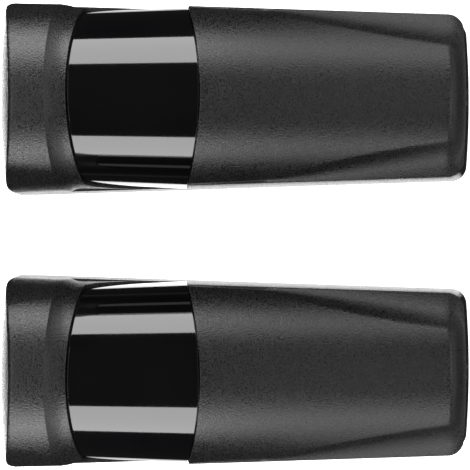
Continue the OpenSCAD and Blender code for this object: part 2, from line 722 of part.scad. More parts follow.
module lens_barrel() {
  inner = barrel_r - barrel_wall;
  seat = barrel_front - lens_edge - lens_lip;
  color("#222225") from_hood(head_at, 0, swivel_h) difference() {
    union() {
      translate([0, 0, -barrel_back]) cylinder(h = barrel_front + barrel_back, r = barrel_r);
      rotate([-90, 0, 0]) translate([0, 0, -rail_y - yoke_wall])
        cylinder(h = 2 * (rail_y + yoke_wall), d = trunnion_d);
    }
    translate([0, 0, -barrel_back + barrel_wall])
      cylinder(h = seat - lens_bulge + barrel_back - barrel_wall,
        r1 = led_d / 2 + barrel_wall, r2 = inner - lens_ledge);
    translate([0, 0, seat - lens_bulge - seat_gap]) cylinder(h = 2 * lens_bulge, r = inner - lens_ledge);
    translate([0, 0, seat]) cylinder(h = 2 * (lens_edge + lens_lip), r = inner);
    translate([0, 0, -2 * barrel_back]) cylinder(h = 2 * barrel_back, d = led_d);
  }
}
module lens() {
  r = barrel_r - barrel_wall - seat_gap;
  ball = (pow(r, 2) + pow(lens_bulge, 2)) / (2 * lens_bulge);
  color("#c8d2d8") from_hood(head_at, 0, swivel_h + barrel_front - lens_edge - lens_lip) union() {
    cylinder(h = lens_edge, r = r);
    intersection() {
      translate([0, 0, ball - lens_bulge]) sphere(r = ball);
      translate([0, 0, -lens_bulge]) cylinder(h = lens_bulge + lens_edge / 2, r = r - lens_ledge);
    }
  }
}
module lens_ring() {
  r = barrel_r - barrel_wall;
  color("#38393c") from_hood(head_at, 0, swivel_h + barrel_front - lens_lip) difference() {
    cylinder(h = lens_lip, r = r);
    translate([0, 0, -overrun]) cylinder(h = lens_lip + 2 * overrun, r = r - barrel_wall);
  }
}
module optics_board() {
  color(board_green) from_hood(head_at - optics_l / 2, -optics_w / 2, swivel_h - barrel_back - board_t / 2)
    difference() {
    cube([optics_l, optics_w, board_t / 2]);
    for (i = [-1, 1]) translate([optics_l / 2 + i * optics_l / 3, optics_w / 2, -overrun])
      cylinder(h = board_t + 2 * overrun, d = trunnion_d / 2);
  }
}
module infrared_led() {
  r = led_d / 2 - seat_gap;
  color("#5a5f80") from_hood(head_at, 0, swivel_h - barrel_back) union() {
    cylinder(h = barrel_wall, r = r);
    translate([0, 0, barrel_wall]) cylinder(h = led_d / 2, r = r - seat_gap);
    translate([0, 0, barrel_wall + led_d / 2]) sphere(r = r - seat_gap);
  }
}
module photodiode() {
  color("#26262c") from_hood(head_at - photodiode_side / 2, -photodiode_side / 2,
    swivel_h - barrel_back) cube([photodiode_side, photodiode_side, barrel_wall + board_t / 2]);
}

// Lead between the board's plug and the hollow journal of the yoke
// A round tube swept along a route, each ring square to the route
function unit(v) = v / norm(v);
function route_dir(r, i) = unit(r[min(i + 1, len(r) - 1)] - r[max(i - 1, 0)]);
function tube_ring(p, d, r, n) = let(
    side = unit(cross(d, abs(d[2]) > 0.9 ? [1, 0, 0] : [0, 0, 1])), up = cross(side, d))
  [for (k = [0:n - 1]) p + r * (cos(360 * k / n) * side + sin(360 * k / n) * up)];
module tube(route, d, n) {
  loft([for (i = [0:len(route) - 1]) tube_ring(route[i], route_dir(route, i), d / 2, n)]);
}
module head_lead() {
  color("#4a1d1d") tube([for (q = lead_route) at(q[0], q[1], q[2])], lead_d, lead_sides);
}
module lead_plug() {
  color("#e4e0d2") from_hood(lead_route[0][0], lead_route[0][1] - plug_w / 2,
    board_top) difference() {
    cube([plug_l, plug_w, plug_h]);
    for (i = [-1, 1]) translate([plug_l / 3, plug_w / 2 + i * plug_w / 4 - slot_cut / 2, plug_h - slot_cut])
      cube([plug_l, slot_cut, plug_h]);
  }
}

module on_board(s, y) {
  from_hood(board_at + s, y, board_top) children();
}
module main_board() {
  color(board_green) difference() {
    from_hood(board_at, -board_w / 2, floor_t + post_h) cube([board_l, board_w, board_t]);
    for (q = post_places()) from_hood(q[0], q[1], floor_t)
      cylinder(h = 2 * post_h + board_t, d = board_screw_d + clear);
  }
}
module board_screws() {
  color(steel_grey) for (q = post_places()) from_hood(q[0], q[1], board_top)
    pan_screw(board_screw_d, board_t + post_h / 2, 2 * board_screw_d, screw_head_h);
}

// Terminal block along the cable end of the board, its poles in a row across the body
module terminal_block() {
  w = poles * pole_pitch;
  color("#2f7a4c") difference() {
    union() {
      on_board(block_s, -w / 2) cube([block_l, w, block_h - clamp_hole / 2]);
      on_board(block_s, -w / 2) cube([block_l / 2, w, block_h]);
    }
    for (i = [0:poles - 1]) {
      on_board(block_s + block_l / 4 + terminal_d / 4, (i + 0.5) * pole_pitch - w / 2)
        translate([0, 0, block_h / 2]) cylinder(h = block_h, d = terminal_d);
      on_board(block_s + block_l / 2, (i + 0.5) * pole_pitch - w / 2 - clamp_hole / 2)
        translate([0, 0, clamp_hole / 2]) cube([block_l, clamp_hole, clamp_hole]);
    }
  }
}
module terminal_screws() {
  w = poles * pole_pitch;
  color(steel_grey) for (i = [0:poles - 1])
    on_board(block_s + block_l / 4 + terminal_d / 4, (i + 0.5) * pole_pitch - w / 2)
      translate([0, 0, block_h / 2]) difference() {
        cylinder(h = block_h / 2 - terminal_d / 4, d = terminal_d - 2 * seat_gap);
        translate([-terminal_d, -slot_cut / 2, block_h / 2 - terminal_d / 2])
          cube([2 * terminal_d, slot_cut, terminal_d]);
      }
}

module chips() {
  color("#1b1b1d") for (q = chip_places) on_board(q[0], q[1] - chip_w / 2) {
    cube([q[2], chip_w, chip_h]);
    for (i = [1:pin_rows], j = [0, 1])
      translate([(i - 0.5) * q[2] / pin_rows - pin_w / 2, j * (chip_w + pin_l) - pin_l, 0])
        cube([pin_w, pin_l, chip_h / 2]);
  }
}
module capacitors() {
  color("#2a3a66") for (k = [0:len(can_places) - 1]) on_board(can_places[k][0], can_places[k][1])
    scale(can_shares[k]) rotate_extrude() polygon([[0, 0], [can_d / 2, 0],
      [can_d / 2, can_h / 8], [can_d / 2 - can_h / 24, can_h / 6], [can_d / 2, can_h / 5],
      [can_d / 2, can_h - can_h / 24], [can_d / 2 - can_h / 24, can_h], [0, can_h]]);
}
module voltage_regulator() {
  color("#2a2a2c") on_board(regulator_at, -regulator_w / 2) difference() {
    union() {
      cube([regulator_l, regulator_w, 0.6 * regulator_h]);
      cube([regulator_l / 3, regulator_w, regulator_h]);
    }
    translate([-regulator_l, regulator_w / 2, 0.8 * regulator_h]) rotate([0, 90, 0])
      cylinder(h = 3 * regulator_l, d = regulator_w / 3);
  }
}
module relay() {
  color("#27303c") on_board(relay_place[0], relay_place[1]) {
    cube([relay_l, relay_w, relay_h]);
    translate([pin_l, pin_l, 0]) cube([relay_l - 2 * pin_l, relay_w - 2 * pin_l, relay_h + pin_w]);
  }
}
module indicator_led() {
  color("#c23a30") on_board(indicator_place[0], indicator_place[1]) {
    cylinder(h = indicator_d / 3, d = 1.25 * indicator_d);
    cylinder(h = 1.2 * indicator_d, d = indicator_d);
    translate([0, 0, 1.2 * indicator_d]) sphere(d = indicator_d);
  }
}

// Slide switch: its slider travels along the body in a slot of the case
module on_selector() {
  on_board(selector_place[0], selector_place[1]) children();
}
module selector_switch() {
  slot = selector_travel + slider_l + 2 * clear;
  color("#8b8e93") on_selector() difference() {
    cube([selector_l, selector_w, selector_h]);
    translate([(selector_l - slot) / 2, selector_w / 4, selector_h / 2])
      cube([slot, selector_w / 2, selector_h]);
  }
}
module selector_slider() {
  color("#e8e6df") on_selector()
    translate([(selector_l - selector_travel - slider_l) / 2, selector_w / 4 + clear / 2,
      selector_h / 2 + clear / 2]) {
      cube([slider_l, selector_w / 2 - clear, slider_h]);
    }
}

// Places of the two units, each lying on its back
module transmitter() {
  translate([0, pair_pitch / 2, 0]) children();
}
module receiver() {
  translate([0, -pair_pitch / 2, 0]) children();
}

transmitter() rear_housing();  // transmitter_rear_housing
transmitter() front_cover();  // transmitter_front_cover
transmitter() ir_window();  // transmitter_ir_window
transmitter() window_gasket();  // transmitter_window_gasket
transmitter() cover_seal();  // transmitter_cover_seal
transmitter() cover_screw();  // transmitter_cover_screw
transmitter() cable_grommet();  // transmitter_cable_grommet
transmitter() swivel_bracket();  // transmitter_swivel_bracket
transmitter() bracket_screws();  // transmitter_bracket_screws
transmitter() swivel_yoke();  // transmitter_swivel_yoke
transmitter() swivel_knob();  // transmitter_swivel_knob
transmitter() lens_barrel();  // transmitter_lens_barrel
transmitter() lens();  // transmitter_lens
transmitter() lens_ring();  // transmitter_lens_ring
transmitter() optics_board();  // transmitter_optics_board
transmitter() infrared_led();  // transmitter_infrared_led
transmitter() head_lead();  // transmitter_head_lead
transmitter() lead_plug();  // transmitter_lead_plug
transmitter() main_board();  // transmitter_main_board
transmitter() board_screws();  // transmitter_board_screws
transmitter() terminal_block();  // transmitter_terminal_block
transmitter() terminal_screws();  // transmitter_terminal_screws
transmitter() chips();  // transmitter_chips
transmitter() capacitors();  // transmitter_capacitors
transmitter() voltage_regulator();  // transmitter_voltage_regulator
transmitter() indicator_led();  // transmitter_indicator_led
transmitter() selector_switch();  // transmitter_selector_switch
transmitter() selector_slider();  // transmitter_selector_slider
receiver() rear_housing();  // receiver_rear_housing
receiver() front_cover();  // receiver_front_cover
receiver() ir_window();  // receiver_ir_window
receiver() window_gasket();  // receiver_window_gasket
receiver() cover_seal();  // receiver_cover_seal
receiver() cover_screw();  // receiver_cover_screw
receiver() cable_grommet();  // receiver_cable_grommet
receiver() swivel_bracket();  // receiver_swivel_bracket
receiver() bracket_screws();  // receiver_bracket_screws
receiver() swivel_yoke();  // receiver_swivel_yoke
receiver() swivel_knob();  // receiver_swivel_knob
receiver() lens_barrel();  // receiver_lens_barrel
receiver() lens();  // receiver_lens
receiver() lens_ring();  // receiver_lens_ring
receiver() optics_board();  // receiver_optics_board
receiver() photodiode();  // receiver_photodiode
receiver() head_lead();  // receiver_head_lead
receiver() lead_plug();  // receiver_lead_plug
receiver() main_board();  // receiver_main_board
receiver() board_screws();  // receiver_board_screws
receiver() terminal_block();  // receiver_terminal_block
receiver() terminal_screws();  // receiver_terminal_screws
receiver() chips();  // receiver_chips
receiver() capacitors();  // receiver_capacitors
receiver() relay();  // receiver_relay
receiver() indicator_led();  // receiver_indicator_led
receiver() selector_switch();  // receiver_selector_switch
receiver() selector_slider();  // receiver_selector_slider
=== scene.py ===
import json
import math
import bmesh
import bpy
import numpy as np
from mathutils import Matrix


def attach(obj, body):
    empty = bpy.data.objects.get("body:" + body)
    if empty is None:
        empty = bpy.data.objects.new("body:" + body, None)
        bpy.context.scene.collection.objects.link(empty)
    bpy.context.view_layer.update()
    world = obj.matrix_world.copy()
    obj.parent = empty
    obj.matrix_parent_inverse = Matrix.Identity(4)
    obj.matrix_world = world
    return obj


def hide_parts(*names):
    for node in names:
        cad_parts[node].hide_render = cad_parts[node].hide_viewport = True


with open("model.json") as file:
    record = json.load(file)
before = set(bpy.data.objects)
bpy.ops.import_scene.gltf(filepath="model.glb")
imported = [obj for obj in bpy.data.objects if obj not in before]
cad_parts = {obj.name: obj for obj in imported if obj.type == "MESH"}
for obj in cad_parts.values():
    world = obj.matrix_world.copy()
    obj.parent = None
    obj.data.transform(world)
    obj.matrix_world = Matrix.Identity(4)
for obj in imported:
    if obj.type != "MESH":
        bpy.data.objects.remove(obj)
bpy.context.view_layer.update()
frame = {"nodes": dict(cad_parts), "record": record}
print("frame loaded")

# Shapes are worked out in millimetres, and the scene is in metres
perMetre = 1000
pairPitch = 75.12  # between the middle lines of both units
units = {"transmitter": pairPitch / 2, "receiver": -pairPitch / 2}


# Colours are picked as sRGB and made linear here
def colour(code):
    value = np.array([int(code[i:i + 2], 16) for i in (0, 2, 4)]) / 255
    linear = np.where(value <= 0.04045, value / 12.92, ((value + 0.055) / 1.055) ** 2.4)
    return (*[float(v) for v in linear], 1.0)


# From a to b by the share t
def mix(a, b, t):
    return a + (b - a) * t


# A share held between 0 and 1 and eased at both ends by a cubic
def ease(t):
    c = np.clip(t, 0, 1)
    return c * c * (3 - 2 * c)


# The lesser of two lengths, less a parabola of depth k / 4 where they are within k of each other
def smoothMin(a, b, k):
    h = np.maximum(0, k - np.abs(a - b)) / k
    return np.minimum(a, b) - h * h * k / 4


# How far a quarter circle of radius r falls at a distance e from the edge that it rounds
def roundOff(e, r):
    return np.where(e < r, r - np.sqrt(np.maximum(0, r * r - (r - np.minimum(e, r)) ** 2)), 0)


# Samples from 0 to 1 over a length, with close ones at either end that is rounded to a radius
def samples(count, length, first=0.0, last=0.0):
    near = np.array([0, 0.04, 0.15, 0.35, 0.65, 1.0, 1.6])  # in shares of the radius
    head = near * first / length if first else np.array([0.0])
    tail = 1 - near[::-1] * last / length if last else np.array([1.0])
    inner = np.linspace(head[-1], tail[0], count)[1:-1]
    return np.concatenate([head, inner, tail])


meshing = dict(merge=2e-6, sharp=32, skinSharp=40, turnSteps=48, slotSteps=19)


# Smooth shading, but for edges where faces meet at more than an angle in degrees
def smoothed(mesh, sharp):
    mesh.polygons.foreach_set("use_smooth", np.ones(len(mesh.polygons), dtype=bool))
    mesh.set_sharp_from_angle(angle=math.radians(sharp))


# An object from points in millimetres and faces, with doubles merged and all faces outward
def meshObject(name, points, faces, sharp=meshing["sharp"]):
    mesh = bpy.data.meshes.new(name)
    mesh.from_pydata((np.asarray(points).reshape(-1, 3) / perMetre).tolist(), [], faces)
    work = bmesh.new()
    work.from_mesh(mesh)
    bmesh.ops.remove_doubles(work, verts=work.verts, dist=meshing["merge"])
    bmesh.ops.recalc_face_normals(work, faces=work.faces)
    work.to_mesh(mesh)
    work.free()
    smoothed(mesh, sharp)
    made = bpy.data.objects.new(name, mesh)
    bpy.context.scene.collection.objects.link(made)
    return made


# One object from several meshes, each given as its points and its faces
def joined(name, parts, sharp=meshing["sharp"]):
    points, faces, count = [], [], 0
    for p, f in parts:
        faces += [[i + count for i in face] for face in f]
        points.append(np.asarray(p))
        count += len(p)
    return meshObject(name, np.concatenate(points), faces, sharp)


# Quads of a grid of rows and columns, whose first point has the number start
def quads(rows, columns, start=0, closeRows=False, closeColumns=False):
    r = np.arange(rows if closeRows else rows - 1)
    c = np.arange(columns if closeColumns else columns - 1)
    r, c = [v.ravel() for v in np.meshgrid(r, c, indexing="ij")]
    nextR, nextC = (r + 1) % rows, (c + 1) % columns
    return (start + np.stack([r * columns + c, r * columns + nextC,
                              nextR * columns + nextC, nextR * columns + c], axis=1)).tolist()


# Faces of a closed shell between an outer and an inner grid of equal size
def shellFaces(rows, columns):
    count = rows * columns
    index = np.arange(count).reshape(rows, columns)
    border = np.concatenate([index[0, :-1], index[:-1, -1], index[-1, :0:-1], index[:0:-1, 0]])
    after = np.roll(border, -1)
    strip = np.stack([border, after, after + count, border + count], axis=1).tolist()
    return quads(rows, columns) + quads(rows, columns, count) + strip


# Faces of a loft through closed rings, closed by flat caps
def loftFaces(rings, count):
    return quads(rings, count, closeColumns=True) + [
        list(range(count)), list(range((rings - 1) * count, rings * count))]


# Points measured from the hood's end and the unit's middle line, moved to the unit's place
def inUnit(points, unit):
    moved = np.array(points, dtype=float)
    moved[..., 0] -= body["length"] / 2
    moved[..., 1] += units[unit]
    return moved


# A loft whose rings are the rows of a grid of points
def loftMesh(grid, unit):
    return inUnit(grid, unit).reshape(-1, 3), loftFaces(*grid.shape[:2])


# A closed shell from its outer and its inner grid
def shellMesh(outer, within, unit):
    points = np.concatenate([outer.reshape(-1, 3), within.reshape(-1, 3)])
    return inUnit(points, unit), shellFaces(*outer.shape[:2])


# A ring of [along, across] points at a height
def levelRing(ring, z):
    return np.column_stack([ring, np.full(len(ring), z)])


# A ring of [across, up] points at a place along
def crossRing(ring, s):
    return np.column_stack([np.full(len(ring), s), ring])


body = dict(length=129.7, hoodWidth=53.0, cableWidth=44.7, rim=17.2, wall=2.2, floor=2.2,
            draft=math.radians(2.2), slope=math.radians(11.6), corner=4.0, bow=1.0, axis=9.0,
            hoodCorner=2.3, hoodBow=1.7, cornerSteps=14, sill=8.4, sillDrop=0.4, joint=0.4,
            hoodDrop=0.3, gap=0.25, edge=0.15, seat=0.05)
body["foot"] = body["sill"] - body["sillDrop"]
body["coverFoot"] = body["rim"] + body["joint"]
body["hoodFoot"] = body["foot"] - body["hoodDrop"]


# Half the width at a place along and a height: a straight taper, less the draft of the flank
def sideWidth(s, z):
    width = mix(body["hoodWidth"], body["cableWidth"], s / body["length"])
    return width / 2 - z * math.tan(body["draft"])


# Where the cable end stands at a height: it slopes back evenly
def cableEnd(z):
    return body["length"] - z * math.tan(body["slope"])


# One end of the plan: a quarter circle, a middle and a quarter circle, all bowed by a parabola
def endCurve(w, r, bow):
    steps = body["cornerSteps"]
    a = np.radians(90) * np.linspace(1, 0, steps + 1)
    arc = np.stack([r * (1 - np.cos(a)), w - r + r * np.sin(a)], axis=1)
    k = np.arange(1, steps) / steps
    middle = np.stack([0 * k, (w - r) * (1 - 2 * k)], axis=1)
    q = np.concatenate([arc, middle, (arc * [1, -1])[::-1]])
    q[:, 0] += bow * (q[:, 1] / w) ** 2
    return q


# The plan outline at a height, drawn in by an inset: both ends, and points on the sides where asked
def planRing(z, inset=0.0, sides=None):
    nearR, farR = [max(body[key] - inset, body["wall"] / 2) for key in ("hoodCorner", "corner")]
    near = endCurve(sideWidth(body["hoodCorner"], z) - inset, nearR, body["hoodBow"]) + [inset, 0]
    farWidth = sideWidth(cableEnd(z) - body["corner"], z) - inset
    far = endCurve(farWidth, farR, body["bow"]) * [-1, 1] + [cableEnd(z) - inset, 0]
    if sides is None:
        return np.concatenate([near, far[::-1]])
    w = sideWidth(sides, z) - inset
    low = np.stack([sides, -w], axis=1)
    high = np.stack([sides, w], axis=1)[::-1]
    return np.concatenate([near, low, far[::-1], high])


window = dict(start=20.25, end=54.4, rHood=23.8, rCover=24.85, thick=2.0, bow=2.9, endBow=3.75,
              sweepHeight=18.0, sweep=17.0, corner=2.0, power=2.3, edge=0.12, arcSamples=90,
              arcLength=60.0, lengthSamples=60, length=30.0, passes=6)


# The left edge at a height: a parabola, and low down a power curve that sweeps toward the cover
def windowLeft(z, gap=0.0):
    low = np.clip((window["sweepHeight"] - z) / (window["sweepHeight"] - body["sill"] + gap), 0, 1)
    return (window["start"] - gap + window["bow"] * (1 - ((z - body["axis"]) / window["rHood"]) ** 2)
            + window["sweep"] * low ** window["power"])


# The right edge at a height: a parabola that bows toward the hood
def windowRight(z):
    return window["end"] - window["endBow"] * (1 - ((z - body["axis"]) / window["rCover"]) ** 2)


# The right edge with its small round lower corner, grown by a gap
def rightEdge(z, gap):
    r = window["corner"] + gap
    low = body["sill"] - gap
    up = np.clip(r - (z - low), 0, r)
    return np.where(z < low + r, windowRight(low + r) + gap - r + np.sqrt(r * r - up * up),
                    windowRight(z) + gap)


# The window's cone: a radius that grows evenly from the hood to the cover
def windowRadius(s):
    return mix(window["rHood"], window["rCover"],
               (s - window["start"]) / (window["end"] - window["start"]))


hood = dict(r=27.0, collar=24.8, step=14.3, stepLength=5.3, stepBow=2.2, leanRadius=73.0, edge=1.0,
            leastEdge=0.4, edgeShare=0.45, leastCorner=0.3, blend=10.5, backBlend=7.0,
            collarBlend=4.0, leastBlend=0.01, fair=math.radians(40), crowding=0.6, columns=150,
            ledge=2.2, ledgeThick=1.4, collarSamples=9, collarLength=8.0,
            outerSteps=(10, 9, 8, 14), innerSteps=(4, 3, 3, 5))


# How far the end wall leans in at a height, on a large circle
def lean(z):
    r = hood["leanRadius"]
    return r - np.sqrt(r ** 2 - np.maximum(0, z - body["foot"]) ** 2)


# From the middle of the hood's foot, the distance at an angle to a circle about the arches' axis
def archReach(a, r):
    rise = body["axis"] - body["hoodFoot"]
    return rise * np.sin(a) + np.sqrt(r * r - (rise * np.cos(a)) ** 2)


# The point at a place along, and at an angle and a distance from the middle of the hood's foot
def archPoint(s, a, reach):
    return np.stack([s + 0 * reach, reach * np.cos(a), body["hoodFoot"] + reach * np.sin(a)], axis=-1)


# The hood's skin: at each angle the lesser of the arch and the drafted flank, blended over a
# length that shrinks from the end wall to the collar and to nothing at the feet
def hoodPoint(s, a, inset):
    w = sideWidth(s, body["hoodFoot"]) - inset
    along = s - hood["stepBow"] * np.cos(a) ** 2
    t = np.clip((along - hood["step"]) / hood["stepLength"], 0, 1)
    r = mix(hood["r"], hood["collar"], t * (2 - t)) - inset
    toSide = w / (np.abs(np.cos(a)) + np.sin(a) * math.tan(body["draft"]))
    blend = mix(hood["blend"], hood["backBlend"], np.clip(along / hood["step"], 0, 1))
    blend = mix(blend, hood["collarBlend"], t) * ease(np.minimum(a, np.pi - a) / hood["fair"])
    return archPoint(s, a, smoothMin(archReach(a, r), toSide, np.maximum(blend, hood["leastBlend"])))


# From the foot of the hood's end wall over its rounded edge, along the roof and down the step
def hoodColumns(a, inset, wallSteps, edgeSteps, roofSteps, stepSteps):
    w = sideWidth(body["hoodCorner"], body["hoodFoot"]) - inset
    corner = max(body["hoodCorner"] - inset, hood["leastCorner"])
    top = hoodPoint(body["hoodCorner"] + 0 * a, a, inset)
    y, topZ = top[..., 1], top[..., 2]
    over = np.maximum(0, np.abs(y) - (w - corner))
    base = (inset + corner - np.sqrt(np.maximum(0, corner ** 2 - over ** 2))
            + body["hoodBow"] * (y / w) ** 2)
    edge = np.minimum(max(hood["edge"] - inset, hood["leastEdge"]),
                      (topZ - body["hoodFoot"]) * hood["edgeShare"])
    wallZ = body["hoodFoot"] + (topZ - edge - body["hoodFoot"]) * np.arange(wallSteps) / wallSteps
    b = np.radians(90) * np.arange(edgeSteps + 1) / edgeSteps
    edgeZ = topZ - edge * (1 - np.sin(b))
    roof = base + lean(topZ) + edge
    step = hood["step"] + hood["stepBow"] * np.cos(a) ** 2
    down = step + hood["stepLength"] * np.arange(1, stepSteps + 1) / stepSteps
    return np.concatenate([
        np.stack([base + lean(wallZ), y + 0 * wallZ, wallZ], axis=-1),
        np.stack([base + lean(edgeZ) + edge * (1 - np.cos(b)), y + 0 * edgeZ, edgeZ], axis=-1),
        hoodPoint(mix(roof, step, np.arange(1, roofSteps + 1) / roofSteps), a, inset),
        hoodPoint(down, a, inset)], axis=1)


# Rings at angles that crowd toward the feet: each runs over the outside, round the ledge that
# carries the window, and back along the inside
def hoodMesh(unit):
    q = np.linspace(0, 1, hood["columns"] + 1)
    a = (np.pi * q - hood["crowding"] / 2 * np.sin(2 * np.pi * q))[:, None]
    outer = hoodColumns(a, 0.0, *hood["outerSteps"])
    start = hood["step"] + hood["stepBow"] * np.cos(a) ** 2 + hood["stepLength"]
    end = windowLeft(hoodPoint(start, a, 0.0)[..., 2], body["gap"])
    s = mix(start, end, samples(hood["collarSamples"], hood["collarLength"], last=body["edge"])[1:])
    collar = hoodPoint(s, a, roundOff(end - s, body["edge"]))
    out = windowRadius(end) - window["thick"] - body["seat"]
    inside = out - hood["ledgeThick"]
    ledge = np.concatenate([archPoint(at, a, archReach(a, r)) for at, r in (
        (end, out), (end + hood["ledge"], out), (end + hood["ledge"], inside),
        (end - hood["ledgeThick"], inside))], axis=1)
    within = hoodColumns(a, body["wall"], *hood["innerSteps"])[:, ::-1]
    return loftMesh(np.concatenate([outer, collar, ledge, within], axis=1), unit)


cover = dict(r=25.5, endR=23.8, crown=34.5, endCrown=29.8, thick=2.0, lip=1.0, crease=68.3,
             creaseEnd=12.9, sag=0.85, nose=6.0, power=1.7, fall=0.48, strip=0.6, soft=0.12,
             softEnd=0.6, softShares=(-1, -0.6, -0.2, 0.2, 0.6, 1), edge=0.2, gap=0.15,
             mainShare=0.64, arcSamples=46, coveSamples=24, coveLength=8.0, lengthSamples=70,
             noseSamples=26)
cover["tip"] = cableEnd(body["coverFoot"])
cover["noseAt"] = cover["tip"] - cover["nose"]


# Half the plan's width at the cover's foot, with the round corners of the cable end
def coverWidth(s):
    r = body["corner"]
    over = np.maximum(0, s - cover["tip"] + r)
    return (sideWidth(np.minimum(s, cover["tip"] - r), body["coverFoot"]) - r
            + np.sqrt(np.maximum(0, r ** 2 - over ** 2)))


# The crown falls evenly from the window to the start of the nose
def crownHeight(s):
    share = (s - window["end"]) / (cover["noseAt"] - window["end"])
    return mix(cover["crown"], cover["endCrown"], share)


# The arch's radius shrinks evenly from the window to the cable end
def coverArch(s):
    return mix(cover["r"], cover["endR"], (s - window["end"]) / (body["length"] - window["end"]))


# The arch under its falling crown: a circle across, whose radius shrinks toward the cable end
def mainHeight(s, y):
    r = coverArch(s)
    return crownHeight(s) - r + np.sqrt(np.maximum(0, r * r - y * y))


# How far along the crease a place is, from 0 at its start to 1 where the nose starts
def creaseShare(s):
    return (s - cover["crease"]) / (cover["noseAt"] - cover["crease"])


# How far out the crease lies: on a sagging line from the side inward, or where the arch meets the rim
def creaseWidth(s):
    t = np.maximum(0, creaseShare(s))
    r = coverArch(s)
    line = (mix(sideWidth(cover["crease"], body["coverFoot"]), cover["creaseEnd"], t)
            - cover["sag"] * 4 * t * (1 - np.clip(t, 0, 1)))
    rim = np.sqrt(r * r - (body["coverFoot"] + cover["lip"] - crownHeight(s) + r) ** 2)
    return np.minimum(np.minimum(line, rim), coverWidth(s) - cover["strip"])


# The cove beyond the crease, from 1 down to 0: part cubic and part straight
def sideCove(q):
    left = 1 - np.clip(q, 0, 1)
    return mix(left ** 3, left, cover["fall"])


# The nose's fall from 1 to 0, level where it starts and where it ends
def noseCove(q):
    q = np.clip(q, 0, 1)
    return (1 - q) ** cover["power"] * (1 + cover["power"] * q)


# The arch's height above the lip, times both coves
def coverHeight(s, y):
    low = body["coverFoot"] + cover["lip"]
    c, w = creaseWidth(s), coverWidth(s)
    side = sideCove((np.abs(y) - c) / (w - c))
    nose = noseCove((s - cover["noseAt"]) / cover["nose"])
    return low + (mainHeight(s, np.minimum(np.abs(y), c)) - low) * side * nose


# The height averaged over a small square, which rounds the creases more and more towards the nose
def softHeight(s, y):
    soft = mix(cover["soft"], cover["softEnd"], ease(creaseShare(s)))
    shares = cover["softShares"]
    return np.mean([coverHeight(s + soft * a, y + soft * b) for a in shares for b in shares], axis=0)


# Places across for t from -1 to 1: even in angle up to the crease, then even to the side
def coverAcross(s, t):
    c, r, share = creaseWidth(s), coverArch(s), cover["mainShare"]
    on = r * np.sin(np.arcsin(c / r) * np.minimum(np.abs(t) / share, 1))
    off = mix(c, coverWidth(s), np.clip((np.abs(t) - share) / (1 - share), 0, 1))
    return np.sign(t) * np.where(np.abs(t) <= share, on, off)


# A grid with a skirt down to the cover's foot, at the nose and then along both sides
def skirted(grid):
    def foot(edge):  # an edge brought down to the cover's foot
        low = edge.copy()
        low[..., 2] = body["coverFoot"]
        return low

    grid = np.concatenate([grid, foot(grid[-1:])], axis=0)
    return np.concatenate([foot(grid[:, :1]), grid, foot(grid[:, -1:])], axis=1)


# The cover's grid starts on the window's right edge; its edges are rounded by lowering the
# points near them, and those at the window are drawn toward the arch's centre
def coverMesh(unit):
    share, edge = cover["mainShare"], cover["edge"]
    beyond = samples(cover["coveSamples"], cover["coveLength"], last=edge)[1:]
    half = np.concatenate([share * np.linspace(0, 1, cover["arcSamples"]), mix(share, 1, beyond)])
    t = np.concatenate([-half[:0:-1], half])[None, :]
    startY = coverAcross(window["end"] + 0 * t, t)
    start = windowRight(coverHeight(window["end"] + 0 * t, startY)) + cover["gap"]
    along = samples(cover["lengthSamples"], cover["noseAt"] - window["end"], first=edge)[:, None]
    over = samples(cover["noseSamples"], cover["nose"], last=edge)[1:, None]
    s = np.concatenate([mix(start, cover["noseAt"], along),
                        cover["noseAt"] + cover["nose"] * over + 0 * start])
    y = coverAcross(s, t)
    z = softHeight(s, y)
    bow = body["bow"] * (y / coverWidth(cover["noseAt"])) ** 2 * ease(creaseShare(s))
    fall = np.maximum(roundOff(coverWidth(s) - np.abs(y), edge), roundOff(cover["tip"] - s, edge))
    centre = crownHeight(s) - coverArch(s)
    drawn = 1 - roundOff(s - start, edge) / coverArch(s)
    outer = np.stack([s - bow, y * drawn, centre + (z - centre) * drawn - fall], axis=-1)
    thin = cover["thick"] * (s - start) / (cover["tip"] - start)
    within = np.stack([s - bow - thin, y * (1 - cover["thick"] / coverWidth(start)),
                       np.maximum(body["coverFoot"], coverHeight(s, y) - cover["thick"])], axis=-1)
    return shellMesh(skirted(outer), skirted(within), unit)


# A shell round the cone from sill to sill, whose two ends follow the edges at each point's height
def windowMesh(unit):
    edge = window["edge"]
    low = math.asin((body["sill"] - body["axis"]) / windowRadius(window["end"]))
    half = mix(low, math.pi / 2, samples(window["arcSamples"], window["arcLength"], first=edge))
    a = np.concatenate([half, math.pi - half[-2::-1]])[:, None]
    t = samples(window["lengthSamples"], window["length"], first=edge, last=edge)[None, :]
    s = mix(window["start"], window["end"], t) + 0 * a
    for _ in range(window["passes"]):
        z = np.maximum(body["sill"], body["axis"] + windowRadius(s) * np.sin(a))
        left, right = windowLeft(z), rightEdge(z, 0.0)
        s = mix(left, right, t)
    near = np.minimum(np.minimum(s - left, right - s), np.maximum(0, z - body["sill"]))
    outer, within = [np.stack([s, r * np.cos(a), body["axis"] + r * np.sin(a)], axis=-1) for r in (
        windowRadius(s) - roundOff(near, edge), windowRadius(s) - window["thick"])]
    return shellMesh(outer, within, unit)


tub = dict(foot=0.5, footShares=((0, 1), (0.08, 0.6), (0.3, 0.28), (0.6, 0.08), (1, 0)), low=1.1,
           bend=4.0, edgeShares=((1, 0), (0.5, 0.1), (0.15, 0.45), (0, 1)), sillSamples=60,
           sideSamples=20, sides=(10, 118), before=0.05, after=0.3, slotsAt=89.7, slotsLong=57.0,
           slotsWide=28.0, slot=4.5, slotLength=7.0, entry=109.4, entryWidth=12.0, cut=(-1, 3))


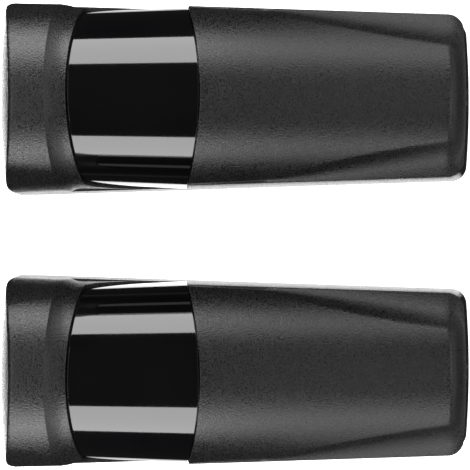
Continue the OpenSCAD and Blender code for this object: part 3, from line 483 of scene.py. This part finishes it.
# The tub's wall: an upright profile carried round the plan, its top following the window's sill
def wallMesh(unit):
    edge, wall = body["edge"], body["wall"]
    z = np.linspace(body["foot"], body["rim"], tub["sillSamples"])
    climb = rightEdge(z, body["gap"])
    first, last = tub["sides"]
    sides = np.concatenate([np.linspace(first, climb[0] - tub["before"], tub["sideSamples"]), climb,
                            np.linspace(climb[-1] + tub["after"], last, tub["sideSamples"])])
    top = np.interp(planRing(body["foot"], 0.0, sides)[:, 0], climb, z)
    rings = [levelRing(planRing(h, 0.0, sides), h) for h in (tub["low"], tub["bend"])]
    foot, rim = body["foot"] - edge, body["rim"]
    rounding = [(edge * a, edge * b) for a, b in tub["edgeShares"]]
    for drop, inset in rounding + [(0, wall - edge), (edge, wall)]:
        share = ((top - drop - foot) / (rim - foot))[:, None]
        ring = mix(planRing(foot, inset, sides), planRing(rim, inset, sides), share)
        rings.append(np.column_stack([ring, top - drop]))
    rings.append(levelRing(planRing(tub["low"], wall, sides), tub["low"]))
    grid = np.stack(rings)
    return inUnit(grid, unit).reshape(-1, 3), quads(*grid.shape[:2], closeRows=True, closeColumns=True)


# The floor: the plan outline with a rounded foot, then a rebate inside the wall
def floorMesh(unit):
    foot, rebate = tub["foot"], body["wall"] / 2
    steps = [(foot * a, foot * b) for a, b in tub["footShares"]] + [
        (tub["low"], 0), (tub["low"], rebate), (body["floor"], rebate)]
    return loftMesh(np.stack([levelRing(planRing(h, inset), h) for h, inset in steps]), unit)


# An upright bar with a round-ended outline, for cutting slots and holes
def slotCutter(s, y, width, length, unit):
    a = np.radians(np.linspace(-90, 90, meshing["slotSteps"]))
    end = width / 2 * np.stack([np.cos(a), np.sin(a)], axis=1) + [(length - width) / 2, 0]
    ring = np.concatenate([end, -end]) + [s, y]
    return loftMesh(np.stack([levelRing(ring, h) for h in tub["cut"]]), unit)


# A turned shape about an upright axis, from [radius, height] pairs, or laid down along the unit
def turnedMesh(profile, place, unit, along=False):
    a = np.linspace(0, 2 * math.pi, meshing["turnSteps"], endpoint=False)
    r, h = np.array(profile, dtype=float).T[:, :, None]
    grid = np.stack([r * np.cos(a), r * np.sin(a), h + 0 * a], axis=-1)
    if along:
        grid = grid[..., ::-1]
    return inUnit(grid + place, unit).reshape(-1, 3), quads(*grid.shape[:2], closeColumns=True)


# A bar along the unit at a height, for cutting screw holes
def alongHole(start, end, z, d, unit):
    return turnedMesh([(0, start), (d / 2, start), (d / 2, end), (0, end)], [0, 0, z], unit, along=True)


# Takes the cutters out of an object's mesh
def cutBy(target, cutters):
    cutter = joined("cutter", cutters)
    tool = target.modifiers.new("cut", "BOOLEAN")
    tool.operation, tool.solver, tool.object = "DIFFERENCE", "EXACT", cutter
    shaped = bpy.data.meshes.new_from_object(target.evaluated_get(bpy.context.evaluated_depsgraph_get()))
    target.modifiers.clear()
    target.data = shaped
    bpy.data.objects.remove(cutter)


inner = dict(partition=48.4, partitionLength=9.2, partitionThick=2.2, arcSamples=90, groove=55.3,
             grooveLength=1.7, grooveDepth=0.9, leg=1.2, legShare=0.6, legInset=0.3, legLow=1.2,
             board=66.0, boardLength=38.0, boardWidth=34.0, clamp=117.28, clampLength=3.5,
             clampWidth=9.0, clampHeight=11.0, clampEdge=0.3, clampLow=2.0, clampSteps=25,
             wallHole=(118.5, 135, 6.0), clampHole=(110, 122, 3.0))
inner["partitionEnd"] = inner["partition"] + inner["partitionLength"]
inner["partitionR"] = windowRadius(inner["partition"]) - window["thick"] - body["seat"]


# The arch that carries the window's end and the cover's seal: a grooved profile carried round it
def partitionMesh(unit):
    r, start, end = inner["partitionR"], inner["partition"], inner["partitionEnd"]
    groove, grooveEnd = inner["groove"], inner["groove"] + inner["grooveLength"]
    deep, within = r - inner["grooveDepth"], r - inner["partitionThick"]
    s, radius = np.array([(start, within), (start, r), (groove, r), (groove, deep), (grooveEnd, deep),
                          (grooveEnd, r), (end, r), (end, within)]).T
    low = math.asin((body["hoodFoot"] - body["axis"]) / r)
    a = np.linspace(low, math.pi - low, inner["arcSamples"])[:, None]
    grid = np.stack([s + 0 * a, radius * np.cos(a), body["axis"] + radius * np.sin(a)], axis=-1)
    return loftMesh(grid, unit)


# The partition's feet, which stand on the floor under both ends of the arch
def legMeshes(unit):
    rise = body["axis"] - body["hoodFoot"]
    across = math.sqrt(inner["partitionR"] ** 2 - rise ** 2) - inner["leg"] * inner["legShare"]
    start, end = inner["partition"] + inner["legInset"], inner["partitionEnd"] - inner["legInset"]
    box = np.array([[start, -1], [end, -1], [end, 1], [start, 1]]) * [1, inner["leg"] / 2]
    return [loftMesh(np.stack([levelRing(box + [0, side * across], h)
                               for h in (inner["legLow"], body["axis"])]), unit) for side in (-1, 1)]


post = dict(inset=3.0, d=5.4, hole=2.2, height=4.0, flare=((0.5, 2.1), (0.15, 2.35), (0, 2.8)), rim=0.3,
            lead=0.2, holeLow=2.3, tip=2.25)


# The board's posts, turned: a flared foot, a rounded rim and a screw hole with a lead
def postMeshes(unit):
    r, hole, top = post["d"] / 2, post["hole"] / 2, body["floor"] + post["height"]
    profile = [(r + out, h) for out, h in post["flare"]] + [
        (r, top - post["rim"]), (r - post["rim"], top), (hole + post["lead"], top),
        (hole, top - post["lead"]), (hole, post["holeLow"]), (0, post["tip"])]
    across = inner["boardWidth"] / 2 - post["inset"]
    start, end = inner["board"] + post["inset"], inner["board"] + inner["boardLength"] - post["inset"]
    return [turnedMesh(profile, [s, side * across, 0], unit)
            for s in (start, end) for side in (-1, 1)]


# The clamp screw's boss: an upright slab with a round top and a small bevel at both faces
def bossMesh(unit):
    start, end, edge = inner["clamp"], inner["clamp"] + inner["clampLength"], inner["clampEdge"]
    w, low = inner["clampWidth"] / 2, inner["clampLow"]
    a = np.radians(np.linspace(0, 180, inner["clampSteps"]))
    rings = []
    for s, inset in ((start, edge), (start + edge, 0), (end - edge, 0), (end, edge)):
        r = w - inset
        arc = np.stack([r * np.cos(a), inner["clampHeight"] + r * np.sin(a)], axis=1)
        rings.append(crossRing(np.concatenate([arc, [[-r, low], [r, low]]]), s))
    return loftMesh(np.stack(rings), unit)


# One housing: the floor, the wall and the boss are cut first, then joined to what has no cut
def makeHousing(unit):
    plate = joined(unit + "_plate", [floorMesh(unit)])
    cutBy(plate, [slotCutter(tub["slotsAt"] + i * tub["slotsLong"] / 2, j * tub["slotsWide"] / 2,
                             tub["slot"], tub["slotLength"], unit) for i in (-1, 1) for j in (-1, 1)]
          + [slotCutter(tub["entry"], 0, tub["entryWidth"], tub["entryWidth"], unit)])
    cut = [plate]
    for name, mesh, key in (("_wall", wallMesh, "wallHole"), ("_boss", bossMesh, "clampHole")):
        start, end, d = inner[key]
        cut.append(joined(unit + name, [mesh(unit)]))
        cutBy(cut[-1], [alongHole(start, end, inner["clampHeight"], d, unit)])
    rest = [hoodMesh(unit), partitionMesh(unit)] + legMeshes(unit) + postMeshes(unit)
    made = joined(unit + "_housing", rest)
    whole = bmesh.new()
    for part in [made] + cut:
        whole.from_mesh(part.data)
    whole.to_mesh(made.data)
    whole.free()
    for part in cut:
        bpy.data.objects.remove(part)
    smoothed(made.data, meshing["sharp"])
    return made


fork = dict(gap=0.15, thick=1.6, low=8.0, high=21.5, rise=0.3, slot=1.8)


# The fork under the cover, a slab open downwards, that the clamp screw holds
def forkMesh(unit):
    start = inner["clamp"] + inner["clampLength"] + fork["gap"]
    r, w, low, high = fork["slot"], inner["clampWidth"] / 2, fork["low"], fork["high"]
    a = np.radians(np.linspace(0, 180, meshing["slotSteps"]))
    arc = np.stack([r * np.cos(a), inner["clampHeight"] + fork["rise"] + r * np.sin(a)], axis=1)
    ring = np.concatenate([[[r, low]], arc, [[-r, low], [-w, low], [-w, high], [w, high], [w, low]]])
    return loftMesh(np.stack([crossRing(ring, s) for s in (start, start + fork["thick"])]), unit)


# Adds a node with its settings, its sockets' values, the links into it and out of it, and the
# stops of its colour ramp, as colours or as grey values
def node(tree, kind, settings=None, values=None, links=None, to=None, stops=()):
    made = tree.nodes.new(kind)
    for key, value in (settings or {}).items():
        setattr(made, key, value)
    for key, value in (values or {}).items():
        made.inputs[key].default_value = value
    for key, source in (links or {}).items():
        tree.links.new(source, made.inputs[key])
    for key, socket in (to or {}).items():
        tree.links.new(made.outputs[key], socket)
    elements = made.color_ramp.elements if stops else ()
    for at, _ in stops[len(elements):]:
        elements.new(at)
    for element, (at, value) in zip(elements, stops):
        element.position = at
        element.color = value if isinstance(value, tuple) else (value, value, value, 1)
    return made


# A new material with values for its shader's sockets, and the coordinates that its patterns read
def newMaterial(name, sockets):
    made = bpy.data.materials.new(name)
    made.use_nodes = True
    tree = made.node_tree
    shader = tree.nodes["Principled BSDF"]
    for key, value in sockets.items():
        shader.inputs[key].default_value = value
    return made, tree, shader, node(tree, "ShaderNodeTexCoord").outputs["Object"]


# The shader's colour between two colours and its roughness between two values, both by one factor
def vary(tree, shader, factor, colours, roughs, colourAt=(0.3, 0.7), roughAt=(0.3, 0.7)):
    for socket, at, ends in (("Base Color", colourAt, [colour(code) for code in colours]),
                             ("Roughness", roughAt, roughs)):
        if ends:
            node(tree, "ShaderNodeValToRGB", links={"Fac": factor},
                 to={"Color": shader.inputs[socket]}, stops=list(zip(at, ends)))


# Sizes of patterns and their relief are in millimetres, from grain to grain or track to track
spark = dict(grain=1 / 2.9, grainRough=0.6, patch=6.25, patchShare=0.1, colours=("060606", "1c1c1c"),
             colourAt=(0.38, 0.62), roughs=(0.21, 0.43), roughAt=(0.36, 0.64), relief=0.1)


# Spark-textured ABS: a tool eroded by sparks leaves grains of about a third of a millimetre,
# which break the light of the panels into a soft, faintly speckled sheen
def sparkAbs(name):
    made, tree, shader, where = newMaterial(name, {"IOR": 1.53, "Specular IOR Level": 0.4})
    grain = node(tree, "ShaderNodeTexNoise", links={"Vector": where}, values={
        "Scale": perMetre / spark["grain"], "Detail": 0.5, "Roughness": spark["grainRough"]})
    patch = node(tree, "ShaderNodeTexNoise", links={"Vector": where}, values={
        "Scale": perMetre / spark["patch"], "Detail": 3.0, "Roughness": 0.5})
    patchPart = node(tree, "ShaderNodeMath", {"operation": "MULTIPLY"}, {1: spark["patchShare"]},
                     {0: patch.outputs["Fac"]})
    both = node(tree, "ShaderNodeMath", {"operation": "MULTIPLY_ADD"}, {1: 1 - spark["patchShare"]},
                {0: grain.outputs["Fac"], 2: patchPart.outputs[0]})
    vary(tree, shader, both.outputs[0], spark["colours"], spark["roughs"], spark["colourAt"],
         spark["roughAt"])
    node(tree, "ShaderNodeBump", values={"Strength": 1.0, "Distance": spark["relief"] / perMetre},
         links={"Height": grain.outputs["Fac"]}, to={"Normal": shader.inputs["Normal"]})
    return made


polish = dict(flow=16.67, colours=("050506", "070708"), roughs=(0.055, 0.075))


# Polished infrared-pass polycarbonate: a mirror-like black skin with a trace of flow in it
def windowPlastic():
    made, tree, shader, where = newMaterial("polished polycarbonate", {"IOR": 1.6})
    flow = node(tree, "ShaderNodeTexNoise", links={"Vector": where}, values={
        "Scale": perMetre / polish["flow"], "Detail": 2.0, "Roughness": 0.4})
    vary(tree, shader, flow.outputs["Fac"], polish["colours"], polish["roughs"])
    return made


plain = dict(grain=1.111, relief=0.03, strength=0.3, sheen=0.15)


# Plain moulded, turned or cast stuffs for the inner parts: a grain, too fine to show and so drawn
# about a millimetre wide, shifts their tone and sheen a little, so that they look made and not flat
def simpleStuff(name, dark, light, rough, grain=plain["grain"], relief=plain["relief"], sockets=None):
    made, tree, shader, where = newMaterial(name, sockets or {})
    pattern = node(tree, "ShaderNodeTexNoise", links={"Vector": where}, values={
        "Scale": perMetre / grain, "Detail": 3.0, "Roughness": 0.55}).outputs["Fac"]
    vary(tree, shader, pattern, (dark, light),
         (rough * (1 - plain["sheen"]), rough * (1 + plain["sheen"])))
    node(tree, "ShaderNodeBump", values={"Strength": plain["strength"], "Distance": relief / perMetre},
         links={"Height": pattern}, to={"Normal": shader.inputs["Normal"]})
    return made


mask = dict(track=0.1167, pitch=1.4, run=4.333, soft=0.2, offset=0.37, squash=0.7, squashEvery=3,
            green="0f4426", otherGreen="124a2b", overTrack="2c7a49", cloth=1.429, roughs=(0.24, 0.36),
            relief=0.04, strength=0.6)


# Solder mask over copper: the tracks show through it as paler lines that stand a little proud
def boardMask(name):
    made, tree, shader, where = newMaterial(name, {"IOR": 1.5})
    tracks = node(tree, "ShaderNodeTexBrick", {"offset": mask["offset"], "squash": mask["squash"],
                                               "squash_frequency": mask["squashEvery"]},
                  {"Scale": perMetre, "Mortar Size": mask["track"], "Mortar Smooth": mask["soft"],
                   "Brick Width": mask["run"], "Row Height": mask["pitch"],
                   "Color1": colour(mask["green"]), "Color2": colour(mask["otherGreen"]),
                   "Mortar": colour(mask["overTrack"])},
                  {"Vector": where}, {"Color": shader.inputs["Base Color"]})
    cloth = node(tree, "ShaderNodeTexNoise", links={"Vector": where}, values={
        "Scale": perMetre / mask["cloth"], "Detail": 2.0, "Roughness": 0.5})
    vary(tree, shader, cloth.outputs["Fac"], (), mask["roughs"])
    node(tree, "ShaderNodeBump", links={"Height": tracks.outputs["Fac"]},
         values={"Strength": mask["strength"], "Distance": mask["relief"] / perMetre},
         to={"Normal": shader.inputs["Normal"]})
    return made


materials = {
    "housing_abs": sparkAbs("spark-textured ABS housing"),
    "cover_abs": sparkAbs("spark-textured ABS cover"),
    "window_plastic": windowPlastic(),
    "circuit_board": boardMask("solder mask on glass epoxy"),
}

# Each row has the slot, the stuff, its dark and its light tone and its roughness
for slotName, *values in (
        # Dull, with hardly a highlight
        ("seal_rubber", "moulded EPDM", "121213", "1b1b1c", 0.75),
        # Waxy, with a broad soft highlight
        ("frame_plastic", "moulded acetal, dark", "333438", "3d3e42", 0.45),
        ("knob_plastic", "moulded acetal, grey", "636569", "707276", 0.45),
        # Matt, so that little stray light reaches the lens
        ("barrel_plastic", "moulded ABS, matt black", "161617", "1e1e1f", 0.6),
        # Smooth, with a thin highlight along the lead
        ("lead_pvc", "extruded PVC", "4a1716", "561c1a", 0.4),
        # Ivory, with a satin sheen
        ("plug_nylon", "moulded nylon, natural", "d8d2c2", "e4dfd1", 0.4),
        # Even green, with a satin sheen
        ("terminal_plastic", "moulded polyamide, green", "2a7044", "327f4e", 0.42),
        # Matt grey-black
        ("chip_plastic", "moulded epoxy, black", "151516", "1d1d1e", 0.55),
        # A tight blue film with a crisp highlight
        ("capacitor_sleeve", "shrunk PVC sleeve", "1f2d58", "26366a", 0.3),
        # Smooth blue-grey, with a crisp highlight
        ("relay_case", "moulded polyester", "202a38", "273344", 0.28),
        # Cloudy red under a glossy skin
        ("indicator_epoxy", "cast epoxy, diffused red", "b02a20", "c43429", 0.25),
        # Bluish grey metal, a little mottled
        ("screw_steel", "turned steel, zinc-plated", "a4a7aa", "c2c5c8", 0.3, 0.667, plain["relief"],
         {"Metallic": 1.0}),
        # Darker than the screws, with softer highlights
        ("switch_metal", "stamped steel, tinned", "8b8e93", "a3a6aa", 0.35, plain["grain"],
         plain["relief"], {"Metallic": 1.0}),
        # Clear as glass, with the faintest waves in its skin
        ("lens_acrylic", "moulded acrylic", "eef3f6", "f6fafc", 0.05, 11.11, 0.005,
         {"IOR": 1.49, "Transmission Weight": 1.0}),
        # Clear with a blue cast, and glossy
        ("led_epoxy", "cast epoxy, blue-tinted", "8f96c8", "9ba2d2", 0.08, 11.11, 0.005,
         {"IOR": 1.52, "Transmission Weight": 0.8})):
    materials[slotName] = simpleStuff(*values)
print("materials made")


# Gives an object the material of one slot
def dress(made, slotName):
    made.data.materials.clear()
    made.data.materials.append(materials[slotName])


# Dresses a new piece in its slot's material, ties it to its body and hides the node that it stands for
def addPiece(made, slotName, bodyName, nodeName):
    dress(made, slotName)
    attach(made, bodyName)
    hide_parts(nodeName)


for unit in units:
    addPiece(makeHousing(unit), "housing_abs", "housings", unit + "_rear_housing")
    addPiece(joined(unit + "_cover", [coverMesh(unit), forkMesh(unit)], meshing["skinSharp"]),
             "cover_abs", unit + "_cover", unit + "_front_cover")
    addPiece(joined(unit + "_window", [windowMesh(unit)], meshing["skinSharp"]),
             "window_plastic", "housings", unit + "_ir_window")
    print(unit, "outside made")

slots = {part["node"]: part["material_slot"] for part in frame["record"]["subparts"]}
for name, made in frame["nodes"].items():
    dress(made, slots[name])
print("inner parts dressed")


# An even rectangle of light, whose power follows from its glow and its size
def panelLight(name, size, place, turn, glow):
    data = bpy.data.lights.new(name, "AREA")
    data.shape = "RECTANGLE"
    data.size, data.size_y = size
    data.energy = glow * math.pi * size[0] * size[1]
    made = bpy.data.objects.new(name, data)
    made.location = place
    made.rotation_euler = [math.radians(v) for v in turn]
    made.visible_camera = False
    bpy.context.scene.collection.objects.link(made)
    return made


# Both long sides have a panel in two parts, bright toward the hoods, and a low skirt under it
besidePanels = dict(across=0.1526, parts=(
    dict(name="skirt", along=(0.02, 0.2), up=(0.003, 0.044), glow=1.1),
    dict(name="panel", along=(-0.26, -0.005), up=(0.049, 0.157), glow=6.7),
    dict(name="panel", along=(-0.005, 0.2), up=(0.049, 0.157), glow=2.85)))
for side in (-1, 1):
    for panel in besidePanels["parts"]:
        (start, end), (low, high) = panel["along"], panel["up"]
        place = ((start + end) / 2, side * besidePanels["across"], (low + high) / 2)
        panelLight(panel["name"], (end - start, high - low), place, (-90 * side, 0, 0), panel["glow"])

# Panels beyond and above both ends, each given by its place along and up
for end in (dict(at=(-0.34, 0.30), tilt=-50, size=(0.2, 0.24), glow=1.7),
            dict(at=(0.36, 0.28), tilt=52, size=(0.2, 0.24), glow=1.6),
            dict(at=(-0.22, 0.45), tilt=-22, size=(0.1, 0.6), glow=2.7),
            dict(at=(0.137, 0.45), tilt=16, size=(0.1, 0.6), glow=1.6),
            dict(at=(0.35, 0.08), tilt=90, size=(0.12, 0.3), glow=1.6)):
    panelLight("end", end["size"], (end["at"][0], 0, end["at"][1]), (0, end["tilt"], 0), end["glow"])

# Low cards on the table: beside the flanks, a wider one for the windows, and beyond the ends
cards = dict(off=-0.0005, lift=0.0002, length=0.1297,
             beside=(dict(lit="_housing", glows=(2.2,), width=0.0055),
                     dict(lit="_window", glows=(3.5, 1.4), width=0.009)),
             left=dict(size=(0.012, 0.053), off=0.001, glow=4.0),
             right=dict(size=(0.12, 0.25), x=0.145, glow=0.35))
taper = math.degrees(math.atan((body["hoodWidth"] - body["cableWidth"]) / 2 / body["length"]))
besideAt = (body["hoodWidth"] + body["cableWidth"]) / 4 / perMetre + cards["off"]


# A card that throws the table's light up, on all pieces or on the one that it is meant for
def lowCard(size, x, y, glow, turn=0.0, lit=None):
    made = panelLight("card", size, (x, y, cards["lift"]), (180, 0, turn), glow)
    if lit:
        seenBy = bpy.data.collections.new("card")
        seenBy.objects.link(bpy.data.objects[lit])
        made.light_linking.receiver_collection = seenBy


for unit, middle in units.items():
    inward = -1 if middle > 0 else 1
    for card in cards["beside"]:
        away = besideAt + card["width"] / 2
        for side, glow in zip((inward, -inward), card["glows"]):
            lowCard((cards["length"], card["width"]), 0, middle / perMetre + side * away, glow,
                    -side * taper, unit + card["lit"])
    card = cards["left"]
    x = -(cards["length"] + card["size"][0]) / 2 - card["off"]
    lowCard(card["size"], x, middle / perMetre, card["glow"], lit=unit + "_housing")
lowCard(cards["right"]["size"], cards["right"]["x"], 0, cards["right"]["glow"])

# The backdrop: white to the camera, and to all other rays a dim sky, a little lighter upward
bpy.context.scene.view_settings.view_transform = "Standard"
world = bpy.data.worlds.new("studio")
bpy.context.scene.world = world
world.use_nodes = True
sky = world.node_tree
aim = node(sky, "ShaderNodeTexCoord").outputs["Generated"]
up = node(sky, "ShaderNodeSeparateXYZ", links={0: aim})
shade = node(sky, "ShaderNodeValToRGB", links={"Fac": up.outputs["Z"]},
             stops=((0.0, 0.02), (0.3, 0.03), (1.0, 0.05)))
seen = node(sky, "ShaderNodeLightPath").outputs["Is Camera Ray"]
background = sky.nodes["Background"].inputs
node(sky, "ShaderNodeMix", {"data_type": "RGBA"}, {"B": (1, 1, 1, 1)},
     {"Factor": seen, "A": shade.outputs["Color"]}, {"Result": background["Color"]})
background["Strength"].default_value = 1.0

# The table: white card with a faint fibre, pure white to the camera and nearly dark to other rays
table = dict(half=3000, fibre=1.25, whites=("f7f7f7", "fbfbfb"), rough=0.9, glow=0.02)
paper, tree, shader, where = newMaterial("white card", {"Roughness": table["rough"],
                                                        "Emission Color": (1, 1, 1, 1)})
fibre = node(tree, "ShaderNodeTexNoise", links={"Vector": where}, values={
    "Scale": perMetre / table["fibre"], "Detail": 3.0, "Roughness": 0.6})
vary(tree, shader, fibre.outputs["Fac"], table["whites"], ())
seen = node(tree, "ShaderNodeLightPath").outputs["Is Camera Ray"]
tree.links.new(seen, shader.inputs["Emission Strength"])
unseen = node(tree, "ShaderNodeEmission", values={"Color": (1, 1, 1, 1), "Strength": table["glow"]})
node(tree, "ShaderNodeMixShader", links={0: seen, 1: unseen.outputs[0], 2: shader.outputs[0]},
     to={0: tree.nodes["Material Output"].inputs["Surface"]})
corners = table["half"] * np.array([[-1, -1, 0], [1, -1, 0], [1, 1, 0], [-1, 1, 0]], dtype=float)
floor = meshObject("floor", corners, [[0, 1, 2, 3]])
floor.data.materials.append(paper)

# The camera looks straight down from so near that the flanks toward the middle show
view = dict(x=-0.00105, height=0.42, lens=114.2, sensor=36, near=0.01)
cameraData = bpy.data.cameras.new("camera")
cameraData.sensor_width = view["sensor"]
cameraData.lens = view["lens"]
cameraData.clip_start = view["near"]
camera = bpy.data.objects.new("camera", cameraData)
camera.location = (view["x"], 0, view["height"])
bpy.context.scene.collection.objects.link(camera)
bpy.context.scene.camera = camera
print("stage set")
